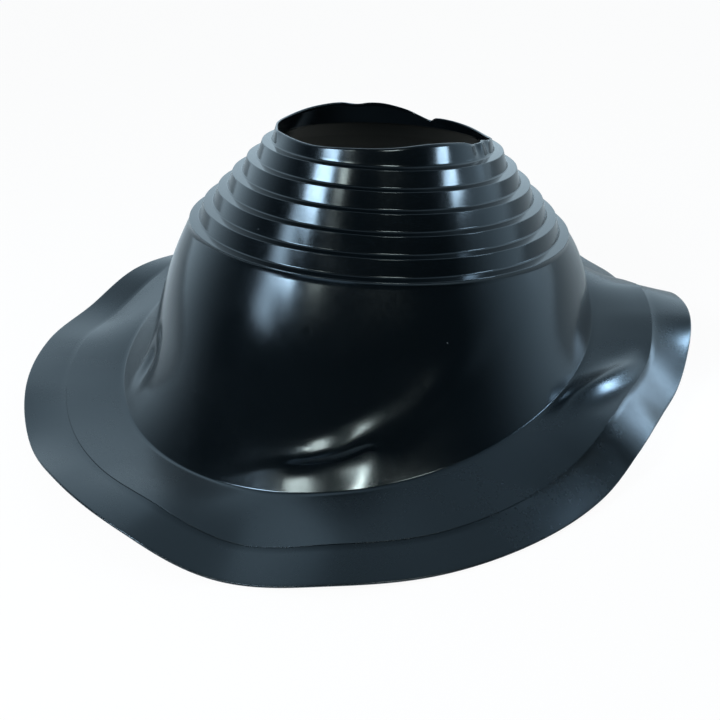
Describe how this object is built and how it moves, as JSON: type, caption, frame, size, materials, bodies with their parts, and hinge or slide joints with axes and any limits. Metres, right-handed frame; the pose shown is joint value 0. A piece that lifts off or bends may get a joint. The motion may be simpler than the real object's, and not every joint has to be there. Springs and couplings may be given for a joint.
{
  "type": "storm collar",
  "caption": "Black rubber roof collar: a stepped cone that seals round a pipe, on a leaning bell with a wide flexible flange for the roof.",
  "frame": {"origin": "where the pipe's axis meets the roof plane that the flange lies on", "axes": "+Z square to the roof, upwards; +Y up the slope, the way the pipe's axis leans; +X to the right when looking up the slope"},
  "size_m": [0.6422, 0.6412, 0.225],
  "materials": {
    "rubber": "smooth moulded rubber, glossy on the rings and the bell, satin on the flange"
  },
  "bodies": {
    "root": {"rubber_collar": "rubber"}
  },
  "joints": []
}
